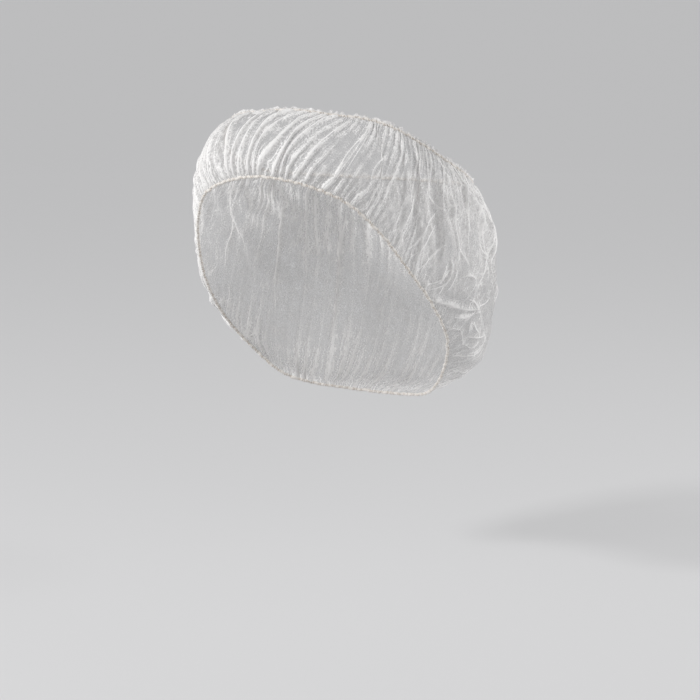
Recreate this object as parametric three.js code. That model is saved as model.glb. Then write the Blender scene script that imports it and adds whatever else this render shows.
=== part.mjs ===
// Disposable headband for spas and clinics: a loop of thin non-woven fabric gathered onto two
// elastic edges, in the shape it takes on a head. It sits low on the brow and high on the crown in
// front, widens over the ears, and bags out behind the head before it closes on the nape.
//
// Frame: millimetres, +Z up, the wearer looks along -Y and the wearer's left is +X. The origin is
// the centre of the head that the band sits on, at the level of the head's greatest girth.
//
// Three pieces: fabric_band, brow_elastic (the lower edge, brow to nape) and crown_elastic.

import * as THREE from "three";

// Driving dimensions.
const FABRIC_WALL = 1.0; // the cloth is thinner than this, and its gathers pad it out
const ELASTIC_DIAMETER = 3.0; // an elastic thread inside its overlocked edge
const SEAT_GAP = 0.3; // between the fabric's cut edge and the elastic

// How finely each piece is faceted.
const STEPS_PER_PLEAT = 4;
const ACROSS_STEPS = 11;
const ELASTIC_STEPS = 120;
const ELASTIC_SIDES = 7;

// A row for each section of the worn band, from the middle of the brow at 0 degrees to the middle of
// the nape at 180, the same on both sides. Each column is a point of the section, as the distance out
// from the head's vertical axis and the height up from the origin: the brow elastic, the cloth's low,
// belly and high points, and the crown elastic.
const SECTIONS = [
  { angle: 0, brow: [82, 19], low: [83.5, 28], belly: [77.5, 39], high: [64.5, 49], crown: [48, 53] },
  { angle: 30, brow: [82, 8.5], low: [83.5, 20], belly: [79, 33.5], high: [67, 45.5], crown: [50.5, 50.5] },
  { angle: 45, brow: [80.5, -9], low: [82, 6], belly: [79, 24], high: [69, 39.5], crown: [53.5, 49] },
  { angle: 60, brow: [78, -33], low: [79.5, -14], belly: [78, 10], high: [72, 31], crown: [59, 44.5] },
  { angle: 75, brow: [76.5, -56], low: [82, -35], belly: [81.5, -8], high: [77, 18], crown: [65.5, 35] },
  { angle: 90, brow: [73.5, -78.5], low: [87, -60], belly: [88.5, -26], high: [82.5, 6], crown: [71.5, 24] },
  { angle: 105, brow: [65.5, -100], low: [86.5, -87], belly: [92.5, -48], high: [87, -7], crown: [76, 15] },
  { angle: 118, brow: [58.5, -114], low: [88, -99], belly: [95, -64], high: [91, -20], crown: [79.5, 8.5] },
  { angle: 135, brow: [55, -121], low: [90, -105], belly: [99, -72], high: [96, -28], crown: [83, 4.5] },
  { angle: 160, brow: [53.5, -125], low: [91, -109], belly: [104, -78], high: [102, -34], crown: [86.5, 2] },
  { angle: 180, brow: [53, -126], low: [91.5, -110], belly: [105, -80], high: [103.5, -36], crown: [87.5, 1.5] },
];

// The gathers, a row for each stretch of one side. Places round the band are shares of the way
// from the brow, 0, to the nape, 1. The elastics pull the cloth into pleats that run from edge to
// edge, close together in front and wide behind.
const GATHERS = [
  { stretch: "brow", until: 0.22, pleats: 8, height: 1.5 },
  { stretch: "temple", until: 0.45, pleats: 5, height: 1.5 },
  { stretch: "ear", until: 0.75, pleats: 5, height: 1.8 },
  { stretch: "nape", until: 1, pleats: 4, height: 2.0 },
];
const HEIGHT_AT_EDGE = 0.3; // share of a pleat's height that is left where the elastic holds it
const UNEVENNESS = 0.6; // how much less the flattest pleats stand out than the fullest

// Larger folds where the cloth hangs loose, on the wearer's left at shares above 0 and on the right
// below. Each is fullest at the share of the way up given by middle, and fades over reach.
const DRAPES = [
  { place: 0.3, middle: 0.55, reach: 0.4, width: 0.025, height: 2.0 },
  { place: 0.44, middle: 0.45, reach: 0.4, width: 0.03, height: 2.2 },
  { place: 0.56, middle: 0.6, reach: 0.35, width: 0.03, height: 2.2 },
  { place: 0.68, middle: 0.65, reach: 0.4, width: 0.035, height: 2.2 },
  { place: 0.86, middle: 0.6, reach: 0.4, width: 0.04, height: 2.6 },
  { place: -0.34, middle: 0.5, reach: 0.4, width: 0.03, height: 2.0 },
  { place: -0.5, middle: 0.6, reach: 0.4, width: 0.035, height: 2.2 },
  { place: -0.65, middle: 0.55, reach: 0.4, width: 0.035, height: 2.4 },
  { place: -0.82, middle: 0.6, reach: 0.4, width: 0.04, height: 2.6 },
];

// Level creases where the bag folds over itself low behind the ears.
const SWAGS = [
  { place: 0.7, spread: 0.1, middle: 0.22, reach: 0.05, height: -2.4 },
  { place: 0.8, spread: 0.14, middle: 0.38, reach: 0.06, height: -2.6 },
  { place: -0.72, spread: 0.14, middle: 0.3, reach: 0.06, height: -2.6 },
  { place: 1, spread: 0.2, middle: 0.22, reach: 0.06, height: -2.4 },
];

const GOLDEN = 0.618;
const bump = (distance, width) => Math.exp(-((distance / width) ** 2));

// A closed curve round the head through one column of every section: the wearer's left from brow to
// nape, then the right back to the brow.
function guide(column) {
  const at = (section, side) => {
    const angle = THREE.MathUtils.degToRad(section.angle) * side;
    const [out, up] = section[column];
    return new THREE.Vector3(out * Math.sin(angle), -out * Math.cos(angle), up);
  };
  const left = SECTIONS.map((section) => at(section, 1));
  const right = SECTIONS.slice(1, -1).reverse().map((section) => at(section, -1));
  const curve = new THREE.CatmullRomCurve3([...left, ...right], true, "centripetal");
  curve.arcLengthDivisions = 2000;
  return curve;
}

const guides = ["brow", "low", "belly", "high", "crown"].map(guide);
const browGuide = guides[0];
const crownGuide = guides.at(-1);

// The cloth was sewn evenly along both elastics, so one thread of it meets every guide at the same
// share of its length. Places run from -1 to 1 and guides from 0 to 1.
const shareOf = (place) => (place / 2 + 1) % 1;
const threadAt = (place) =>
  new THREE.CatmullRomCurve3(guides.map((curve) => curve.getPointAt(shareOf(place))));

// The places where the cloth is faceted, with the height of the pleat there.
function stationsOf(side) {
  const found = [];
  let from = 0;
  for (const { until, pleats, height } of GATHERS) {
    const steps = pleats * STEPS_PER_PLEAT;
    for (let k = 0; k < steps; k++) {
      found.push({ place: side * THREE.MathUtils.lerp(from, until, k / steps), height });
    }
    from = until;
  }
  return found;
}
const stations = [
  ...stationsOf(1),
  { place: 1, height: GATHERS.at(-1).height },
  ...stationsOf(-1).slice(1).reverse(),
];

// How far the cloth stands off the smooth band at station i and share t of the way up.
function foldHeight(i, t) {
  const { place, height } = stations[i];
  const pleat = Math.round(i / STEPS_PER_PLEAT);
  const fullness = 1 - UNEVENNESS * ((pleat * GOLDEN) % 1);
  const held = HEIGHT_AT_EDGE + (1 - HEIGHT_AT_EDGE) * Math.sin(Math.PI * t);
  let off = height * fullness * held * Math.cos((2 * Math.PI * i) / STEPS_PER_PLEAT);
  const roundTo = (other) => Math.min(Math.abs(place - other), 2 - Math.abs(place - other));
  for (const fold of DRAPES) {
    off += fold.height * bump(roundTo(fold.place), fold.width) * bump(t - fold.middle, fold.reach);
  }
  for (const swag of SWAGS) {
    off += swag.height * bump(roundTo(swag.place), swag.spread) * bump(t - swag.middle, swag.reach);
  }
  return off;
}

// A closed tube or wall: rings of points, each ring closed, and the last ring joined to the first.
function closedRings(rings) {
  const count = rings[0].length;
  const corner = (i, j) => (i % rings.length) * count + (j % count);
  const index = [];
  for (let i = 0; i < rings.length; i++) {
    for (let j = 0; j < count; j++) {
      index.push(corner(i, j), corner(i, j + 1), corner(i + 1, j + 1));
      index.push(corner(i, j), corner(i + 1, j + 1), corner(i + 1, j));
    }
  }
  const geometry = new THREE.BufferGeometry();
  geometry.setFromPoints(rings.flat());
  geometry.setIndex(index);
  geometry.computeVertexNormals();
  return geometry;
}

// Unit normals of a grid of points that closes on itself round i, pointing out of the head.
function gridNormals(grid) {
  return grid.map((column, i) => {
    const before = grid[(i + grid.length - 1) % grid.length];
    const after = grid[(i + 1) % grid.length];
    return column.map((_, j) => {
      const alongRound = after[j].clone().sub(before[j]);
      const up = column[Math.min(j + 1, column.length - 1)].clone().sub(column[Math.max(j - 1, 0)]);
      return alongRound.cross(up).normalize();
    });
  });
}

// The grid moved along its normals, by the distance given for each point.
function offsetGrid(grid, normals, distance) {
  return grid.map((column, i) =>
    column.map((point, j) => point.clone().addScaledVector(normals[i][j], distance(i, j))),
  );
}

// The share of a thread to leave free at one end, so that the cloth's cut edge clears the elastic
// there, which the thread may meet at a slant.
function trimAt(thread, end, elasticGuide, place) {
  const slant = thread.getTangent(end).cross(elasticGuide.getTangentAt(shareOf(place))).length();
  return (ELASTIC_DIAMETER / 2 + SEAT_GAP) / slant / thread.getLength();
}

// The fabric: the smooth band, then its folds, then its two faces joined along both cut edges.
function fabricGeometry() {
  const smooth = stations.map(({ place }) => {
    const thread = threadAt(place);
    const from = trimAt(thread, 0, browGuide, place);
    const to = 1 - trimAt(thread, 1, crownGuide, place);
    return Array.from({ length: ACROSS_STEPS + 1 }, (_, j) =>
      thread.getPointAt(THREE.MathUtils.lerp(from, to, j / ACROSS_STEPS)),
    );
  });
  const folded = offsetGrid(smooth, gridNormals(smooth), (i, j) => foldHeight(i, j / ACROSS_STEPS));
  const normals = gridNormals(folded);
  const outside = offsetGrid(folded, normals, () => FABRIC_WALL / 2);
  const inside = offsetGrid(folded, normals, () => -FABRIC_WALL / 2);
  return closedRings(outside.map((column, i) => [...inside[i], ...column.reverse()]));
}

// An elastic edge: a round cord along a guide.
function elasticGeometry(curve) {
  const frames = curve.computeFrenetFrames(ELASTIC_STEPS, true);
  const rings = Array.from({ length: ELASTIC_STEPS }, (_, i) => {
    const centre = curve.getPointAt(i / ELASTIC_STEPS);
    return Array.from({ length: ELASTIC_SIDES }, (_, j) => {
      const turn = (2 * Math.PI * j) / ELASTIC_SIDES;
      return centre
        .clone()
        .addScaledVector(frames.normals[i], (Math.cos(turn) * ELASTIC_DIAMETER) / 2)
        .addScaledVector(frames.binormals[i], (Math.sin(turn) * ELASTIC_DIAMETER) / 2);
    });
  });
  return closedRings(rings);
}

function piece(name, geometry, material) {
  const mesh = new THREE.Mesh(geometry, material);
  mesh.name = name;
  return mesh;
}

const nonWoven = new THREE.MeshStandardMaterial({
  color: 0xe6e4e2,
  roughness: 0.9,
  metalness: 0,
  transparent: true,
  opacity: 0.7,
  side: THREE.DoubleSide,
});
const elastic = new THREE.MeshStandardMaterial({ color: 0xeee6dc, roughness: 0.8, metalness: 0 });

const headband = new THREE.Group();
headband.add(
  piece("fabric_band", fabricGeometry(), nonWoven),
  piece("brow_elastic", elasticGeometry(browGuide), elastic),
  piece("crown_elastic", elasticGeometry(crownGuide), elastic),
);

export default headband;
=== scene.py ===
"""Disposable spa headband, as worn: a loop of thin non-woven cloth gathered on two elastic edges.

Metres, +Z up, the wearer looks along -Y and the wearer's left is +X. The origin is the centre of
the head that the band sits on.
"""
import math

import bpy
import numpy as np
from mathutils import Matrix, Vector, kdtree


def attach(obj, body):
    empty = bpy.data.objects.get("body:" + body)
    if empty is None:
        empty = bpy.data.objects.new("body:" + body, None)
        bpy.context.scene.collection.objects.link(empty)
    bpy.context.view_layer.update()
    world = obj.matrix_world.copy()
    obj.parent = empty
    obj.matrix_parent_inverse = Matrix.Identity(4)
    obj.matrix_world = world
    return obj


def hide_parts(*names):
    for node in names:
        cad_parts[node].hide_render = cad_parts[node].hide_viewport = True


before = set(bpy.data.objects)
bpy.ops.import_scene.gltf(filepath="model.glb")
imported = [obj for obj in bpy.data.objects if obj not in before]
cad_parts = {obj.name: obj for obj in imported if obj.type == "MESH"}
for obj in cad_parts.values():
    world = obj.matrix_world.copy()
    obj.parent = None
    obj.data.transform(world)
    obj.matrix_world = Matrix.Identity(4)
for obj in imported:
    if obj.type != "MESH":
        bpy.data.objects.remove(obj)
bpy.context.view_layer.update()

# ---------------------------------------------------------------------------------------------------
# The view. The band is seen from a little above the brow, from the wearer's left, and it fills the
# part of the frame that it takes when it is worn on a display head.
AZIMUTH = math.radians(28)
ELEVATION = math.radians(11)
DISTANCE = 1.2
ASIDE = 0.0093  # from the origin to the middle of the frame, to the right
BELOW = 0.0893  # and down
FOCAL_LENGTH = 106.4  # mm
SENSOR_WIDTH = 36  # mm

toward_viewer = Vector(
    (math.sin(AZIMUTH) * math.cos(ELEVATION), -math.cos(AZIMUTH) * math.cos(ELEVATION), math.sin(ELEVATION))
)
screen_right = Vector((math.cos(AZIMUTH), math.sin(AZIMUTH), 0))
screen_up = toward_viewer.cross(screen_right)
viewpoint = toward_viewer * DISTANCE + screen_right * ASIDE - screen_up * BELOW
facing_band = Matrix((screen_right, screen_up, toward_viewer)).transposed().to_4x4()


def in_scene(name, data):
    """A new object of the scene, at the origin, that shows the data."""
    made = bpy.data.objects.new(name, data)
    bpy.context.scene.collection.objects.link(made)
    return made


camera = in_scene("camera", bpy.data.cameras.new("camera"))
camera.data.lens = FOCAL_LENGTH
camera.data.sensor_width = SENSOR_WIDTH
camera.matrix_world = Matrix.Translation(viewpoint) @ facing_band
bpy.context.scene.camera = camera
bpy.context.scene.view_settings.view_transform = "Standard"

# ---------------------------------------------------------------------------------------------------
# The gathered cloth: one loop of thin white spunbond, cut wider at the back than in front and about
# 0.7 m round. It is gathered onto two elastics half a metre round, so it stands in close pleats over
# the brow, in soft creases over the ears, and in long slack pleats where it bags behind the head.
MM = 0.001
CUT_ROUND = 0.70
EASE_IN_FRONT = 1.0  # cut width over the width that it spans on the head
EASE_BEHIND = 1.06

# A row for each section of the worn band, from the middle of the brow at 0 degrees to the middle of
# the nape at 180. Each point is the distance out from the head's axis and the height up, in mm.
SECTIONS = (
    dict(at=0, brow=(82, 19), low=(83.5, 28), belly=(77.5, 39), high=(64.5, 49), crown=(48, 53)),
    dict(at=30, brow=(82, 8.5), low=(83.5, 20), belly=(79, 33.5), high=(67, 45.5), crown=(50.5, 50.5)),
    dict(at=45, brow=(80.5, -9), low=(82, 6), belly=(79, 24), high=(69, 39.5), crown=(53.5, 49)),
    dict(at=60, brow=(78, -33), low=(79.5, -14), belly=(78, 10), high=(72, 31), crown=(59, 44.5)),
    dict(at=75, brow=(76.5, -56), low=(82, -35), belly=(81.5, -8), high=(77, 18), crown=(65.5, 35)),
    dict(at=90, brow=(73.5, -78.5), low=(87, -60), belly=(88.5, -26), high=(82.5, 6), crown=(71.5, 24)),
    dict(at=105, brow=(65.5, -100), low=(86.5, -87), belly=(92.5, -48), high=(87, -7), crown=(76, 15)),
    dict(at=118, brow=(58.5, -114), low=(88, -99), belly=(95, -64), high=(91, -20), crown=(79.5, 8.5)),
    dict(at=135, brow=(55, -121), low=(90, -105), belly=(99, -72), high=(96, -28), crown=(83, 4.5)),
    dict(at=160, brow=(53.5, -125), low=(91, -109), belly=(104, -78), high=(102, -34), crown=(86.5, 2)),
    dict(at=180, brow=(53, -126), low=(91.5, -110), belly=(105, -80), high=(103.5, -36), crown=(87.5, 1.5)),
)
GUIDES = ("brow", "low", "belly", "high", "crown")
STEPS_PER_SECTION = 60
STEPS_PER_SPAN = 20

# The grid of the cloth while it is simulated; the finished cloth has twice as many rows each way.
COLUMNS_ROUND = 440
ROWS_ACROSS = 56


def unit(vectors):
    """The vectors at a length of one."""
    return vectors / np.linalg.norm(vectors, axis=-1, keepdims=True)


def curve_through(points, steps, closed=False):
    """Centripetal Catmull-Rom curve through points, along the first axis of the array."""
    if closed:
        led = np.concatenate([points[-1:], points, points[:2]])
    else:
        led = np.concatenate([2 * points[:1] - points[1:2], points, 2 * points[-1:] - points[-2:-1]])

    def root_gap(p, q):
        return np.sqrt(np.linalg.norm(q - p, axis=-1, keepdims=True))

    a, b, c, d = led[:-3], led[1:-2], led[2:-1], led[3:]
    ab, bc, cd = root_gap(a, b), root_gap(b, c), root_gap(c, d)
    leave = ((b - a) / ab - (c - a) / (ab + bc) + (c - b) / bc) * bc
    reach = ((c - b) / bc - (d - b) / (bc + cd) + (d - c) / cd) * bc
    t = (np.arange(steps) / steps).reshape((1, steps) + (1,) * (points.ndim - 1))
    b, c, leave, reach = (x[:, None] for x in (b, c, leave, reach))
    run = (2 * t**3 - 3 * t**2 + 1) * b + (t**3 - 2 * t**2 + t) * leave
    run = run + (3 * t**2 - 2 * t**3) * c + (t**3 - t**2) * reach
    run = run.reshape((-1,) + points.shape[1:])
    return np.concatenate([run, points[:1] if closed else points[-1:]])


def evenly(curve, shares):
    """Points at the given shares of a curve's length."""
    length = np.concatenate([[0], np.cumsum(np.linalg.norm(np.diff(curve, axis=0), axis=1))])
    return np.stack([np.interp(shares * length[-1], length, curve[:, k]) for k in range(3)], -1)


def guide(column):
    """A closed curve round the head through one column of every section, the wearer's left first."""
    out, up = (np.array([row[column][k] for row in SECTIONS]) * MM for k in (0, 1))
    angle = np.radians([row["at"] for row in SECTIONS])
    left = np.stack([out * np.sin(angle), -out * np.cos(angle), up], -1)
    right = left[-2:0:-1] * (-1, 1, 1)
    return curve_through(np.concatenate([left, right]), STEPS_PER_SECTION, closed=True)


def smooth_band(around, across):
    """The band without folds, as a grid of points [around, across], brow edge first.

    The cloth was sewn evenly along both elastics, so one thread of it meets every guide at the same
    share of that guide's length.
    """
    shares = np.arange(around) / around
    threads = curve_through(np.stack([evenly(guide(name), shares) for name in GUIDES]), STEPS_PER_SPAN)
    up = np.linspace(0, 1, across)
    return np.stack([evenly(threads[:, i], up) for i in range(around)])


def face_directions(grid):
    """Unit normals of such a grid, out of the head."""
    round_it = np.roll(grid, -1, 0) - np.roll(grid, 1, 0)
    return unit(np.cross(round_it, np.gradient(grid, axis=1)))


def widths_of(band):
    """How wide the band is at each place round it."""
    return np.linalg.norm(np.diff(band, axis=1), axis=-1).sum(1)


def from_elastic(band):
    """How far each point of the band is from the nearer elastic, along the cloth."""
    up = np.linspace(0, 1, band.shape[1])[None]
    return np.minimum(up, 1 - up) * widths_of(band)[:, None]


def toward_rear(front, behind, count):
    """A measure at so many places round the band, which goes from the brow's value to the nape's."""
    return front + (behind - front) * (0.5 - 0.5 * np.cos(2 * np.pi * np.arange(count) / count))


def grid_object(name, grid):
    """A sheet that closes on itself round the first axis."""
    around, across = grid.shape[:2]
    i, j = np.meshgrid(np.arange(around), np.arange(across - 1), indexing="ij")
    after = (i + 1) % around
    corners = (i * across + j, after * across + j, after * across + j + 1, i * across + j + 1)
    mesh = bpy.data.meshes.new(name)
    mesh.from_pydata(grid.reshape(-1, 3).tolist(), [], np.stack(corners, -1).reshape(-1, 4).tolist())
    return in_scene(name, mesh)


def wander(rng, count, waves, size):
    """A smooth random line that closes on itself, from so many waves."""
    turn = 2 * np.pi * np.outer(np.arange(1, waves + 1), np.arange(count) / count)
    mix = rng.normal(size=(2, waves))
    return size * (mix[0] @ np.cos(turn) + mix[1] @ np.sin(turn)) / math.sqrt(waves)


# How the gathers start out, before the cloth settles. A drift, a lean or an unevenness is the number
# of random waves round the band and their size, here and below.
GATHERS = 110
GATHER_HEIGHT = 0.9 * MM
GATHER_HEIGHT_MIDDLE = 0.35  # share left half way between the elastics
GATHER_DRIFT = (30, 1.5)
GATHER_LEAN = (12, 2.0)
GATHER_UNEVENNESS = (40, 0.4)
BROAD_FOLDS = ((37, 0.6 * MM), (23, 0.6 * MM), (15, 0.5 * MM))
BROAD_FOLD_SKEW = 1.5


def gathered_start(band, rng):
    """The band with even gathers on it, which give the simulation its first buckles."""
    around, across = band.shape[:2]
    share = np.arange(around)[:, None] / around
    up = np.linspace(0, 1, across)[None]
    phase = 2 * np.pi * GATHERS * share + wander(rng, around, *GATHER_DRIFT)[:, None]
    lean = wander(rng, around, *GATHER_LEAN)[:, None]
    held = GATHER_HEIGHT_MIDDLE + (1 - GATHER_HEIGHT_MIDDLE) * np.abs(2 * up - 1) ** 3
    uneven = 1 + wander(rng, around, *GATHER_UNEVENNESS)[:, None]
    height = GATHER_HEIGHT * np.cos(phase + (up - 0.5) * lean) * uneven * held
    for folds, size in BROAD_FOLDS:
        start, skew = rng.uniform(0, 2 * np.pi), rng.normal() * BROAD_FOLD_SKEW
        wave = np.cos(2 * np.pi * folds * share + start + skew * (up - 0.5))
        height = height + size * wave * np.sin(np.pi * up)
    return band + face_directions(band) * height[..., None]


# The solver is steadier with the cloth ten times its size.
SOLVER_SCALE = 10
SOLVER_FRAMES = 20
SOLVER_CLOTH = dict(
    quality=8,
    mass=0.02,
    tension_stiffness=40,
    compression_stiffness=40,
    shear_stiffness=5,
    bending_stiffness=0.1,
    tension_damping=5,
    compression_damping=5,
    shear_damping=5,
    bending_damping=0.5,
    pin_stiffness=1,
)
SOLVER_GRAVITY = 0.4
SOLVER_GAP = 0.004
INSIDE_GRID = (120, 20)
INSIDE_FEEL = dict(thickness_outer=0.003, thickness_inner=0.2, cloth_friction=5)
HEAD_CLEARANCE_FRONT = 0.8 * MM
HEAD_CLEARANCE_BEHIND = 5 * MM


def pass_through():
    """A modifier's node group that changes nothing. The solver takes the cut's size only behind one."""
    group = bpy.data.node_groups.new("pass_through", "GeometryNodeTree")
    for way in ("INPUT", "OUTPUT"):
        group.interface.new_socket("Geometry", in_out=way, socket_type="NodeSocketGeometry")
    given, handed_on = group.nodes.new("NodeGroupInput"), group.nodes.new("NodeGroupOutput")
    group.links.new(given.outputs[0], handed_on.inputs[0])
    return group


def cut_flat(band):
    """The cloth as it was cut, as a plain tube with the band's grid."""
    around, across = band.shape[:2]
    turn = 2 * np.pi * (np.arange(around) / around)
    radius = CUT_ROUND / (2 * np.pi)
    width = widths_of(band) * toward_rear(EASE_IN_FRONT, EASE_BEHIND, around)
    cut = np.empty_like(band)
    cut[..., 0] = radius * np.sin(turn)[:, None]
    cut[..., 1] = -radius * np.cos(turn)[:, None]
    cut[..., 2] = np.linspace(-0.5, 0.5, across) * width[:, None]
    return cut


def settled_cloth(band, start):
    """Lets the cloth, cut longer and wider than the band it is held to, buckle between the elastics."""
    cloth = grid_object("cloth_to_settle", start * SOLVER_SCALE)
    cloth.shape_key_add(name="Basis")
    as_cut = cloth.shape_key_add(name="as cut")
    as_cut.data.foreach_set("co", (cut_flat(band) * SOLVER_SCALE).astype(np.float32).ravel())
    held = np.arange(band[..., 0].size).reshape(band.shape[:2])[:, [0, -1]]
    edges = cloth.vertex_groups.new(name="edges")
    edges.add(held.ravel().tolist(), 1, "REPLACE")
    unchanged = pass_through()
    cloth.modifiers.new("pass", "NODES").node_group = unchanged
    solver = cloth.modifiers.new("cloth", "CLOTH")
    for key, value in SOLVER_CLOTH.items():
        setattr(solver.settings, key, value)
    solver.settings.vertex_group_mass = edges.name
    solver.settings.rest_shape_key = as_cut
    solver.settings.effector_weights.gravity = SOLVER_GRAVITY
    solver.collision_settings.use_collision = True
    solver.collision_settings.distance_min = SOLVER_GAP
    solver.point_cache.frame_start = 1
    solver.point_cache.frame_end = SOLVER_FRAMES

    # What the cloth lies on: the band's own form, a little way in.
    coarse = smooth_band(*INSIDE_GRID)
    rear = toward_rear(0, HEAD_CLEARANCE_BEHIND, INSIDE_GRID[0])[:, None]
    clearance = HEAD_CLEARANCE_FRONT + rear * np.sin(np.pi * np.linspace(0, 1, INSIDE_GRID[1]))
    within = coarse - face_directions(coarse) * clearance[..., None]
    inside = grid_object("inside_to_settle", within * SOLVER_SCALE)
    inside.modifiers.new("inside", "COLLISION")
    for key, value in INSIDE_FEEL.items():
        setattr(inside.collision, key, value)

    for number in range(1, SOLVER_FRAMES + 1):
        bpy.context.scene.frame_set(number)
    shape = cloth.evaluated_get(bpy.context.evaluated_depsgraph_get()).to_mesh()
    settled = np.empty(band.size, np.float32)
    shape.vertices.foreach_get("co", settled)
    for made in (cloth, inside):
        mesh = made.data
        bpy.data.objects.remove(made)
        bpy.data.meshes.remove(mesh)
    bpy.data.node_groups.remove(unchanged)
    bpy.context.scene.frame_set(1)
    return settled.reshape(band.shape).astype(float) / SOLVER_SCALE


# How far the settled cloth may stand off the smooth band: out and in, in front and behind.
OUT_FRONT, OUT_BEHIND = 2.2 * MM, 3.6 * MM
IN_FRONT, IN_BEHIND = 1.2 * MM, 4.0 * MM
FREE_FROM_FRONT, FREE_FROM_BEHIND = 25 * MM, 40 * MM  # nearer to an elastic it stands off less
LEAST_FREE = 0.25
CALM_PASSES = 3  # of smoothing, behind the head, where the cloth hangs more slackly


def soft_limit(value, low, high):
    """Bends values smoothly so that they stay between -low and high."""
    return np.where(value > 0, high * np.tanh(value / high), low * np.tanh(value / low))


def nearest_on(band, points):
    """The nearest point of the band to each point, and the way out of the head there."""
    spots, facing = band.reshape(-1, 3), face_directions(band).reshape(-1, 3)
    finder = kdtree.KDTree(len(spots))
    for k, spot in enumerate(spots):
        finder.insert(spot, k)
    finder.balance()
    found = np.array([finder.find(point)[1] for point in points.reshape(-1, 3)])
    return spots[found].reshape(points.shape), facing[found].reshape(points.shape)


def pressed_in(band, cloth):
    """Keeps the cloth near the smooth band, as its own stiffness and the hair under it do."""
    around = len(cloth)
    base, facing = nearest_on(band, cloth)
    off = ((cloth - base) * facing).sum(-1)
    free_from = toward_rear(FREE_FROM_FRONT, FREE_FROM_BEHIND, around)[:, None]
    free = LEAST_FREE + (1 - LEAST_FREE) * np.clip(from_elastic(band) / free_from, 0, 1)
    low = toward_rear(IN_FRONT, IN_BEHIND, around)[:, None] * free
    high = toward_rear(OUT_FRONT, OUT_BEHIND, around)[:, None] * free
    return cloth + facing * (soft_limit(off, low, high) - off)[..., None]


def smoothed(grid):
    """One light pass that takes off the solver's grain; the two edges stay."""
    eased = 0.5 * grid + 0.25 * (np.roll(grid, 1, 0) + np.roll(grid, -1, 0))
    inner = 0.5 * eased[:, 1:-1] + 0.25 * (eased[:, :-2] + eased[:, 2:])
    return np.concatenate([grid[:, :1], inner, grid[:, -1:]], axis=1)


def doubled(grid):
    """The grid with a cubic point between every two, both ways."""
    between = (9 * (grid + np.roll(grid, -1, 0)) - np.roll(grid, 1, 0) - np.roll(grid, -2, 0)) / 16
    round_it = np.stack([grid, between], 1).reshape((-1,) + grid.shape[1:])
    before = 2 * round_it[:, :1] - round_it[:, 1:2]
    after = 2 * round_it[:, -1:] - round_it[:, -2:-1]
    led = np.concatenate([before, round_it, after], axis=1)
    made = np.empty((len(round_it), 2 * grid.shape[1] - 1, 3))
    made[:, ::2] = round_it
    made[:, 1::2] = (9 * (led[:, 1:-2] + led[:, 2:-1]) - led[:, :-3] - led[:, 3:]) / 16
    return made


rng = np.random.default_rng(7)
band = smooth_band(COLUMNS_ROUND, ROWS_ACROSS)
cloth = gathered_start(band, rng)
cloth = settled_cloth(band, cloth)
cloth = smoothed(pressed_in(band, cloth))
calm = cloth
for _ in range(CALM_PASSES):
    calm = smoothed(calm)
cloth = doubled(cloth + toward_rear(0, 1, COLUMNS_ROUND)[:, None, None] * (calm - cloth))
band = smooth_band(2 * COLUMNS_ROUND, 2 * ROWS_ACROSS - 1)

# The pleats that the elastics hold, a row for each place round the band: from the nape on the right,
# -1, by the brow, 0, to the nape on the left, 1. Heights in mm are at the brow elastic and the crown
# elastic, reaches are how far the pleats run in from each as shares of the width, and lean is how
# far a pleat has moved toward the left nape by the time it gets to the crown elastic.
PLEATS = 112
PLEATING = (
    dict(place=-1.0, brow=2.4, brow_reach=0.36, crown=2.0, crown_reach=0.32, lean=0.0),
    dict(place=-0.8, brow=2.4, brow_reach=0.32, crown=1.9, crown_reach=0.34, lean=0.05),
    dict(place=-0.6, brow=2.0, brow_reach=0.22, crown=2.2, crown_reach=0.34, lean=0.10),
    dict(place=-0.4, brow=1.8, brow_reach=0.28, crown=2.2, crown_reach=0.40, lean=0.08),
    dict(place=-0.22, brow=2.1, brow_reach=0.75, crown=2.0, crown_reach=0.70, lean=-0.06),
    dict(place=-0.1, brow=2.3, brow_reach=1.00, crown=2.1, crown_reach=0.90, lean=-0.03),
    dict(place=0.0, brow=2.3, brow_reach=1.00, crown=2.1, crown_reach=0.90, lean=0.03),
    dict(place=0.08, brow=2.2, brow_reach=0.80, crown=2.0, crown_reach=0.70, lean=0.08),
    dict(place=0.16, brow=1.5, brow_reach=0.50, crown=1.8, crown_reach=0.50, lean=0.08),
    dict(place=0.26, brow=1.2, brow_reach=0.35, crown=1.7, crown_reach=0.45, lean=0.04),
    dict(place=0.4, brow=1.5, brow_reach=0.14, crown=2.0, crown_reach=0.40, lean=-0.08),
    dict(place=0.46, brow=1.3, brow_reach=0.05, crown=2.0, crown_reach=0.38, lean=-0.08),
    dict(place=0.54, brow=1.3, brow_reach=0.05, crown=2.1, crown_reach=0.34, lean=-0.08),
    dict(place=0.7, brow=1.2, brow_reach=0.10, crown=2.2, crown_reach=0.32, lean=-0.10),
    dict(place=0.85, brow=1.4, brow_reach=0.18, crown=1.9, crown_reach=0.34, lean=-0.05),
    dict(place=1.0, brow=2.4, brow_reach=0.36, crown=2.0, crown_reach=0.32, lean=0.0),
)
PLEAT_DRIFT = (24, 0.3)
PLEAT_LEAN = (40, 0.4)
PLEAT_FULLNESS = (0.4, 1.25)  # each pleat has its own height between these, times the table's
PLEAT_LENGTH = (0.6, 1.5)  # and its own reach between these, times the table's
PLEAT_FALL = 0.7 * MM  # how far a pleat's top falls over to one side,
PLEAT_FALLS = (-1, 1.5)  # times its own number between these
PLEAT_END = 4  # how suddenly a pleat runs out
PLEAT_SHARPNESS = 2.0
PLEAT_SUNK = 0.3  # share of a pleat's height by which the cloth between pleats lies lower
EDGE_HOLD = 2 * MM  # how far from an elastic a pleat gets its height
EDGE_WAVES = 0.35  # share of the cloth's own waves that is left at the elastic itself
SCALLOP = 0.4 * MM  # how far the stitched edge is drawn in between one gather and the next
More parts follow.
